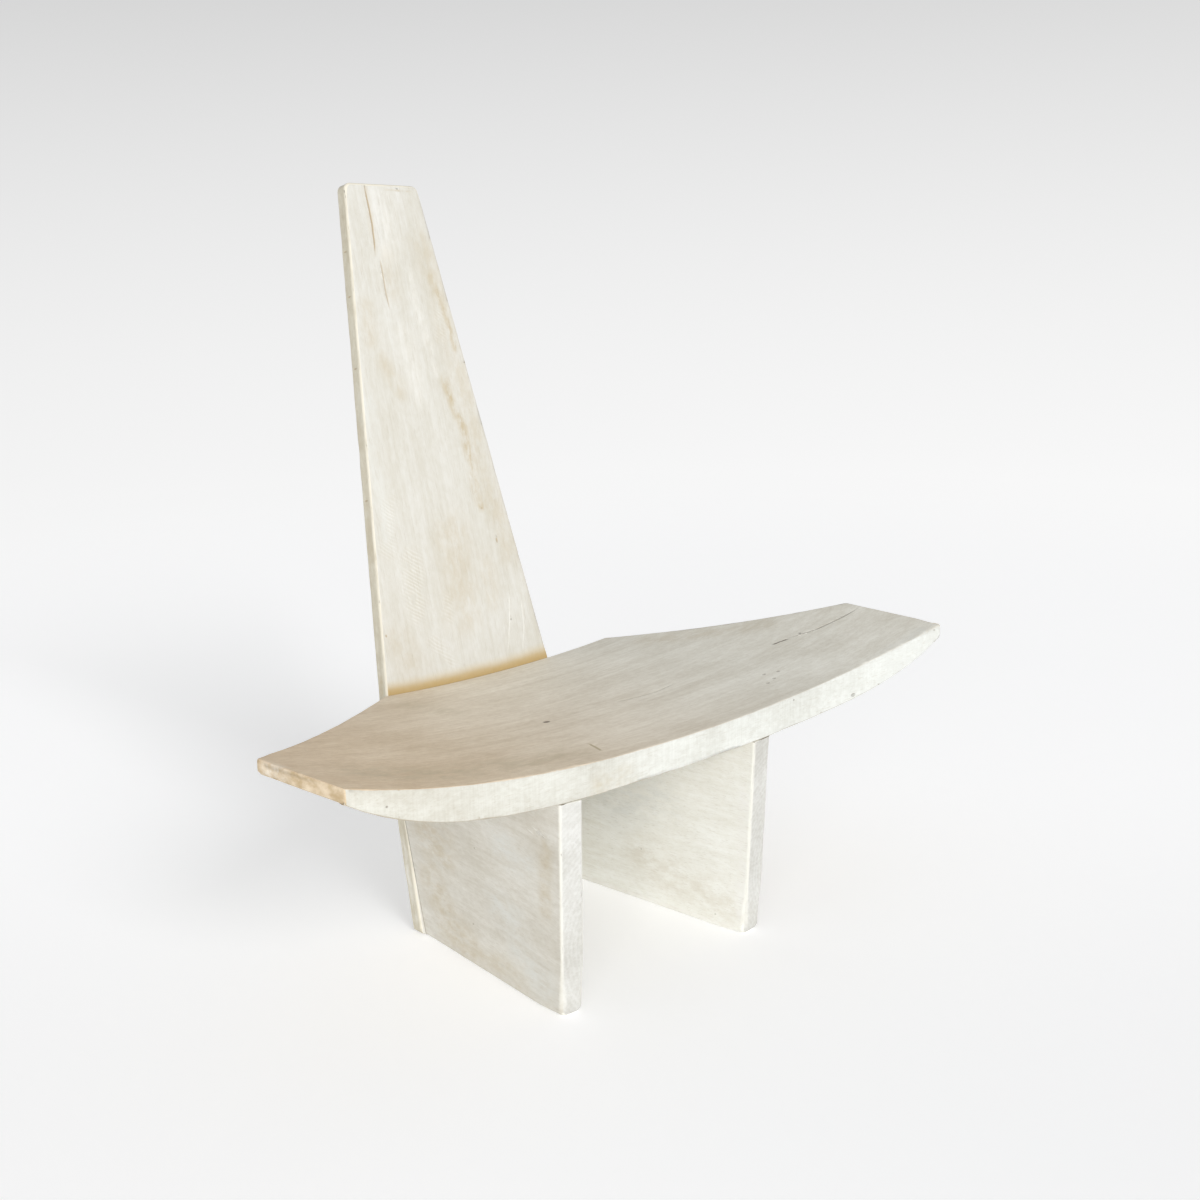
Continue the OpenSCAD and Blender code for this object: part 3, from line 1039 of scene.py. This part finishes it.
# Back plank wood
BACK_DARK = (0.56, 0.535, 0.46, 1)
BACK_LIGHT = (0.695, 0.69, 0.655, 1)
BACK_SIDE_DARK = (0.47, 0.415, 0.3, 1)
BACK_SIDE_LIGHT = (0.72, 0.695, 0.59, 1)
BACK_CRACK_TONE = (0.4, 0.31, 0.19, 1)
# Painted shade and warm reflection in a band on the plank's face, just above the seat
BAND_HEIGHT = 23 * MM
SHADE_BAND_TOP_TONE = (0.61, 0.535, 0.39, 1)
SHADE_BAND_LOW_TONE = (0.455, 0.32, 0.135, 1)
BAND_FADE_FROM = 0.3 * BAND_HEIGHT
BAND_FADE_TO = 1.15 * BAND_HEIGHT
BAND_BLUR = 4 * MM
BAND_FOOT = -2 * MM
BAND_WAVER = 6 * MM
BAND_RATE = (90, 90, 90)
RIPPLE_TONE = (0.57, 0.53, 0.43, 1)
RIPPLE_SPACING = 6.8 * MM
RIPPLE_SLOPE = 0.75
RIPPLE_WAVER = 8
RIPPLE_WAVER_RATE = (30, 30, 30)
RIPPLE_PATCHES = (45, 45, 45)
RIPPLE_RANGE = (0.35, 0.6)
RIPPLE_DARK = 0.4
RIPPLE_PALE = 0.3
RIPPLE_RELIEF = 0.5
BEFORE_BACK = 40 * MM
INSIDE_EDGE = 30 * MM


def seat_top_at(x):
    """Height of the seat's top where it meets the face of the back plank."""
    near = BACK_FOOT + UP + BACKWARD * (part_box(SEAT)[1].y - BACK_FOOT.y - BEFORE_BACK)
    return SURFACES[SEAT].ray_cast(near + ACROSS * x, -UP)[0].z


def over_seat(graph):
    """Height above the seat's dished top, in metres."""
    middle = sum(SEAT_ENDS) / 2
    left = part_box(BACK)[0].x + INSIDE_EDGE
    lowest = seat_top_at(middle)
    dish = (seat_top_at(left) - lowest) / (left - middle) ** 2
    place = graph.place()
    from_middle = graph.plus(graph.along(place, ACROSS), -middle)
    curve = graph.times(from_middle, from_middle, dish)
    return graph.plus(graph.along(place, UP), -lowest, graph.times(curve, -1))


def ripples(graph, grain):
    """Close ridges that a chattering plane leaves across the grain."""
    values = {"Vector": grain.place}
    split = [graph.made("ShaderNodeSeparateXYZ", values, output=k) for k in range(2)]
    slant = graph.plus(split[0], graph.times(split[1], RIPPLE_SLOPE))
    waver = graph.noise(graph.scaled(grain.place, RIPPLE_WAVER_RATE))
    steady = graph.times(slant, 2 * math.pi / RIPPLE_SPACING)
    turn = graph.plus(steady, graph.times(waver, RIPPLE_WAVER))
    return graph.plus(0.5, graph.times(graph.math("SINE", turn), 0.5))


def back_wood():
    """Cream limed face with tool marks, darker sides, and a band of painted shade and warm reflection above
    the seat.
    """
    graph = Graph("limed_back_wood")
    grain = Grain(graph, BACK_UP, ACROSS, BACK_IN)
    face = grain.tone(graph, BACK_DARK, BACK_LIGHT)
    side = grain.tone(graph, BACK_SIDE_DARK, BACK_SIDE_LIGHT)
    sideways = graph.math("MAXIMUM", graph.facing(ACROSS), graph.facing(-ACROSS))
    colour = graph.mix(sideways, face, side)
    # Painted shade and warm reflection, darkest where the plank meets the seat
    height = over_seat(graph)
    waver = graph.times(graph.plus(grain.blotch, -0.5), BAND_BLUR)
    share = graph.ramp(graph.plus(height, waver), BAND_FADE_FROM, BAND_FADE_TO, 1, 0)
    below = graph.ramp(height, BAND_FOOT, 0)
    spots = graph.noise(graph.scaled(graph.place(), BAND_RATE), detail=4, roughness=0.6)
    speckled = graph.plus(height, graph.times(graph.plus(spots, -0.5), BAND_WAVER))
    shade_band = graph.mix(graph.ramp(speckled, 0, BAND_HEIGHT), SHADE_BAND_LOW_TONE, SHADE_BAND_TOP_TONE)
    front = graph.facing(-BACKWARD)
    colour = graph.mix(graph.times(share, below, front), colour, shade_band)
    patches = graph.uneven(graph.place(), RIPPLE_PATCHES, RIPPLE_RANGE, detail=3, roughness=0.6)
    mask = graph.times(graph.layer("ripple"), patches)
    ridge = ripples(graph, grain)
    dip = graph.times(mask, graph.plus(1, graph.times(ridge, -1)), RIPPLE_DARK)
    colour = graph.mix(dip, colour, RIPPLE_TONE)
    colour = graph.mix(graph.times(mask, ridge, RIPPLE_PALE), colour, PALE_TONE)
    relief = graph.times(ridge, mask, RIPPLE_RELIEF)
    return finish_wood(graph, grain, colour, BACK_CRACK_TONE, ARRIS_CREAM, relief)


# Leg wood
LEG_OUTER_DARK = (0.52, 0.485, 0.405, 1)
LEG_OUTER_LIGHT = (0.73, 0.715, 0.66, 1)
# The inner faces are painted paler than the outer ones, as painted light for what reaches them under the
# seat
LEG_INNER_LIT_DARK = (0.765, 0.75, 0.67, 1)
LEG_INNER_LIT_LIGHT = (0.92, 0.925, 0.885, 1)
LEG_FRONT_DARK = (0.48, 0.47, 0.43, 1)
LEG_FRONT_LIGHT = (0.675, 0.675, 0.65, 1)
LEG_CRACK_TONE = (0.2, 0.16, 0.1, 1)
RING_SPACING = 7 * MM
RING_CENTRE = Vector((70 * MM, 0, -60 * MM))
RING_WAVER = 4
RING_WAVER_RATE = (20, 20, 20)
RING_SHARE = 0.13
RING_RELIEF = 0.05
END_BLOTCH = 0.5
END_SPECK = 0.3


def end_rings(graph, leg):
    """Arcs of the growth rings on a leg's narrow front end."""
    low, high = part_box(leg)
    pith = Vector((high.x, 0, high.z / 2)) + RING_CENTRE
    flat = graph.scaled(graph.place(), (1, 0, 1))
    values = {0: flat, 1: pith}
    radius = graph.made("ShaderNodeVectorMath", values, output="Value", operation="DISTANCE")
    waver = graph.noise(graph.scaled(graph.place(), RING_WAVER_RATE))
    steady = graph.times(radius, 2 * math.pi / RING_SPACING)
    turn = graph.plus(steady, graph.times(waver, RING_WAVER))
    return graph.plus(0.5, graph.times(graph.math("SINE", turn), 0.5))


def leg_wood(leg, outward):
    """Greyer on the outer face, paler on the inner one with painted light, and pale end grain in front."""
    graph = Graph(leg + "_limed_wood")
    grain = Grain(graph, BACKWARD, UP, ACROSS)
    outer = grain.tone(graph, LEG_OUTER_DARK, LEG_OUTER_LIGHT)
    # Paler tones of the inner faces: painted light
    lit_inner = grain.tone(graph, LEG_INNER_LIT_DARK, LEG_INNER_LIT_LIGHT)
    rings = end_rings(graph, leg)
    mottle = graph.plus(graph.times(grain.blotch, END_BLOTCH), graph.times(grain.speck, END_SPECK))
    share = graph.plus(graph.times(rings, RING_SHARE), mottle)
    front = graph.mix(share, LEG_FRONT_DARK, LEG_FRONT_LIGHT)
    colour = graph.mix(graph.facing(outward), lit_inner, outer)
    colour = graph.mix(graph.facing(-BACKWARD), colour, front)
    relief = graph.times(rings, graph.facing(-BACKWARD), RING_RELIEF)
    return finish_wood(graph, grain, colour, LEG_CRACK_TONE, ARRIS_WHITE, relief)


# Beech of the dowels
BEECH_DARK = (0.5, 0.33, 0.19, 1)
BEECH_LIGHT = (0.7, 0.52, 0.34, 1)
BEECH_ROUGHNESS = 0.45
BEECH_ROUGH_FINE = 0.2
BEECH_BUMP = {"Strength": 0.4, "Distance": 0.2 * MM}


def finish_dowels():
    """Gives the hidden dowels their plain beech."""
    graph = Graph("beech_wood")
    grain = Grain(graph, BACKWARD, ACROSS, UP)
    graph.put(grain.tone(graph, BEECH_DARK, BEECH_LIGHT), graph.shader.inputs["Base Color"])
    rough = graph.plus(BEECH_ROUGHNESS, graph.times(grain.fine, BEECH_ROUGH_FINE))
    graph.put(rough, graph.shader.inputs["Roughness"])
    bump = graph.made("ShaderNodeBump", {**BEECH_BUMP, "Height": grain.fine})
    graph.put(bump, graph.shader.inputs["Normal"])
    for name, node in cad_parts.items():
        if "dowel" in name:
            node.data.materials.clear()
            node.data.materials.append(graph.material)


# Pieces


BLUNT_CORNERS = seen(SEAT, TIP_CORNERS)


def make_seat():
    shape = rounded_arrises(cad_shape(SEAT), SEAT, seat_share)
    gridded(shape, ACROSS, BACKWARD, UP)
    smoothed(shape, seat_free)
    rounded_over(shape, SEAT, lambda f: f.normal.z > WALL_SLOPE, tip_radius)
    rounded_over(shape, SEAT, lambda f: f.normal.z < -WALL_SLOPE, tip_radius)
    marked_arrises(shape, beside_back, worn=0)
    cut_crack(shape, SEAT, OPEN_CHECK, width=5 * MM, depth=1.2 * MM, strength=0.8)
    cut_crack(shape, SEAT, LONG_CHECK, width=3.4 * MM, depth=1 * MM, strength=0.55)
    cut_crack(shape, SEAT, FAINT_CHECK, width=3.4 * MM, depth=0.6 * MM, strength=0.25)
    cut_crack(shape, SEAT, SHORT_CHECK, width=5 * MM, depth=0.8 * MM, layer_name="warm", strength=1.4)
    sink_pit(shape, SEAT, SLOT_KNOT, ACROSS, size=(7 * MM, 4.5 * MM, 1.4 * MM), strength=0.8)
    for hole in WORM_HOLES:
        sink_pit(shape, SEAT, hole, ACROSS, size=(4 * MM, 3 * MM, 1 * MM), strength=0.45)
    for hole in FRONT_HOLES:
        sink_pit(shape, SEAT, hole, ACROSS, size=(2 * MM, 1.6 * MM, 0.8 * MM), strength=0.45)
    sink_pit(shape, SEAT, FRONT_NOTCH, ACROSS, size=(7 * MM, 3.5 * MM, 1.8 * MM), strength=0.35)
    painted(shape, SEAT, END_PALE, "pale", half_width=16 * MM, strength=0.6)
    painted(shape, SEAT, END_ARRIS, "crack", half_width=3 * MM, strength=0.3)
    painted(shape, SEAT, FRONT_ARRIS, "pale", half_width=4 * MM, strength=0.3)
    # Painted shade on the front of the right tip
    painted(shape, SEAT, RIGHT_TIP_SHADE, "cool", half_width=45 * MM, strength=0.8)
    # Painted shade under the seat's front edge, above the right leg
    painted(shape, SEAT, LOWER_EDGE_SHADE, "crack", half_width=2.5 * MM, strength=0.4)
    painted(shape, SEAT, TOP_WARM_PATCH, "warm", half_width=55 * MM, strength=0.5)
    painted(shape, SEAT, TOP_WARM_SPOT, "warm", half_width=40 * MM, strength=0.4)
    painted(shape, SEAT, FRONT_WARM_PATCH, "warm", half_width=30 * MM, strength=0.35)
    painted(shape, SEAT, RIGHT_WARM_PATCH, "warm", half_width=45 * MM, strength=0.35)
    hand_worked(shape, seat_free, SEAT_SEED)
    finished(shape, SEAT, seat_wood())


def make_back():
    shape = rounded_arrises(cad_shape(BACK), BACK, back_share)
    gridded(shape, BACK_UP, ACROSS, BACK_IN)
    smoothed(shape, back_free)
    marked_arrises(shape, nowhere)
    painted(shape, BACK, TOP_CRACK, "warm", half_width=8 * MM, strength=0.5)
    cut_crack(shape, BACK, TOP_CRACK, width=3.2 * MM, depth=1.2 * MM, strength=0.85)
    cut_crack(shape, BACK, LOWER_CRACK, width=2.8 * MM, depth=0.8 * MM, strength=0.6)
    cut_crack(shape, BACK, TOP_TAN_LINE, width=4 * MM, depth=0.3 * MM, layer_name="warm", strength=0.5)
    for line in (LOW_WHITE_LINE, EDGE_WHITE_LINE):
        cut_crack(shape, BACK, line, width=3 * MM, depth=0.2 * MM, layer_name="pale", strength=0.6)
    for line in (LEFT_WHITE_LINE, RIGHT_WHITE_LINE):
        painted(shape, BACK, line, "pale", half_width=9 * MM, strength=0.35)
    sink_pit(shape, BACK, KNOT_MARK, ACROSS, size=(3 * MM, 2 * MM, 0.6 * MM), strength=0.4)
    sink_pit(shape, BACK, DARK_DOT, BACK_UP, size=(5 * MM, 1.8 * MM, 1 * MM), strength=0.7)
    for spot in SIDE_SPOTS:
        sink_pit(shape, BACK, spot, BACK_IN, size=(5 * MM, 1.6 * MM, 0.8 * MM), strength=0.6)
    sink_pit(shape, BACK, ARRIS_NICK, BACK_UP, size=(2.5 * MM, 1.8 * MM, 0.8 * MM), strength=0.7)
    for path, half_width, strength in BACK_WARM_MARKS:
        painted(shape, BACK, path, "warm", half_width, strength)
    painted(shape, BACK, COOL_LEFT, "cool", half_width=26 * MM, strength=0.4)
    painted(shape, BACK, PALE_MIDDLE, "pale", half_width=26 * MM, strength=0.25)
    painted(shape, BACK, TOP_PALE, "pale", half_width=40 * MM, strength=0.3)
    painted(shape, BACK, SIDE_WARM, "warm", half_width=16 * MM, strength=0.45)
    painted(shape, BACK, SIDE_WARM_FOOT, "warm", half_width=12 * MM, strength=0.8)
    painted(shape, BACK, SIDE_PALE, "pale", half_width=14 * MM, strength=0.5)
    painted(shape, BACK, ARRIS_GLINT, "pale", half_width=4 * MM, strength=1)
    for path, half_width, strength in BACK_RIPPLES:
        painted(shape, BACK, path, "ripple", half_width, strength)
    rounded_over(shape, BACK, is_floor_face, foot_radius)
    hand_worked(shape, back_free, BACK_SEED)
    finished(shape, BACK, back_wood())


def leg_shape(node):
    """A leg slab with soft arrises, which swell at its toe."""
    shape = rounded_arrises(cad_shape(node), node, leg_share)
    gridded(shape, BACKWARD, UP, ACROSS)
    sides = [flat_side(node, way) for way in (-ACROSS, ACROSS, -BACKWARD, -UP)]
    front, forward = sides[2]

    def radius_at(point):
        near_front = 1 - ramp((front - point) @ forward, LEG_ROUND, TOE_REACH)
        near_floor = 1 - ramp(point.z, LEG_ROUND, TOE_HEIGHT)
        return LEG_ROUND + (TOE_ROUND - LEG_ROUND) * near_front * near_floor

    rounded_off(shape, sides, radius_at)
    marked_arrises(shape, beside_seat_or_back)
    return shape


def make_left_leg():
    shape = leg_shape(LEFT_LEG)
    for scratch in LEG_SCRATCHES:
        cut_crack(shape, LEFT_LEG, scratch, width=2.4 * MM, depth=0.3 * MM, layer_name="pale", strength=0.5)
    for dot in LEG_DOTS:
        sink_pit(shape, LEFT_LEG, dot, BACKWARD, size=(2 * MM, 1.6 * MM, 0.6 * MM), strength=0.4)
    for patch in COOL_LEG_PATCHES:
        painted(shape, LEFT_LEG, patch, "cool", half_width=52 * MM, strength=0.6)
    painted(shape, LEFT_LEG, WARM_LEG_PATCH, "warm", half_width=60 * MM, strength=0.55)
    painted(shape, LEFT_LEG, WARM_LEG_STRIP, "warm", half_width=24 * MM, strength=0.5)
    # Tan of the wood with painted shade under the seat
    painted(shape, LEFT_LEG, WARM_LEG_TOP_SHADE, "warm", half_width=70 * MM, strength=0.6)
    painted(shape, LEFT_LEG, WARM_LEG_FOOT, "warm", half_width=30 * MM, strength=0.45)
    hand_worked(shape, leg_free, LEFT_LEG_SEED)
    finished(shape, LEFT_LEG, leg_wood(LEFT_LEG, -ACROSS))


def make_right_leg():
    shape = leg_shape(RIGHT_LEG)
    for dot in INNER_DOTS:
        sink_pit(shape, RIGHT_LEG, dot, BACKWARD, size=(2 * MM, 1.6 * MM, 0.6 * MM), strength=0.3)
    painted(shape, RIGHT_LEG, INNER_WARM_PATCH, "warm", half_width=60 * MM, strength=0.3)
    painted(shape, RIGHT_LEG, INNER_COOL_PATCH, "cool", half_width=60 * MM, strength=0.5)
    painted(shape, RIGHT_LEG, INNER_PALE_STRIP, "pale", half_width=14 * MM, strength=0.7)
    hand_worked(shape, leg_free, RIGHT_LEG_SEED)
    finished(shape, RIGHT_LEG, leg_wood(RIGHT_LEG, ACROSS))


make_camera()
make_floor()
make_light()
make_seat()
make_back()
make_left_leg()
make_right_leg()
finish_dowels()
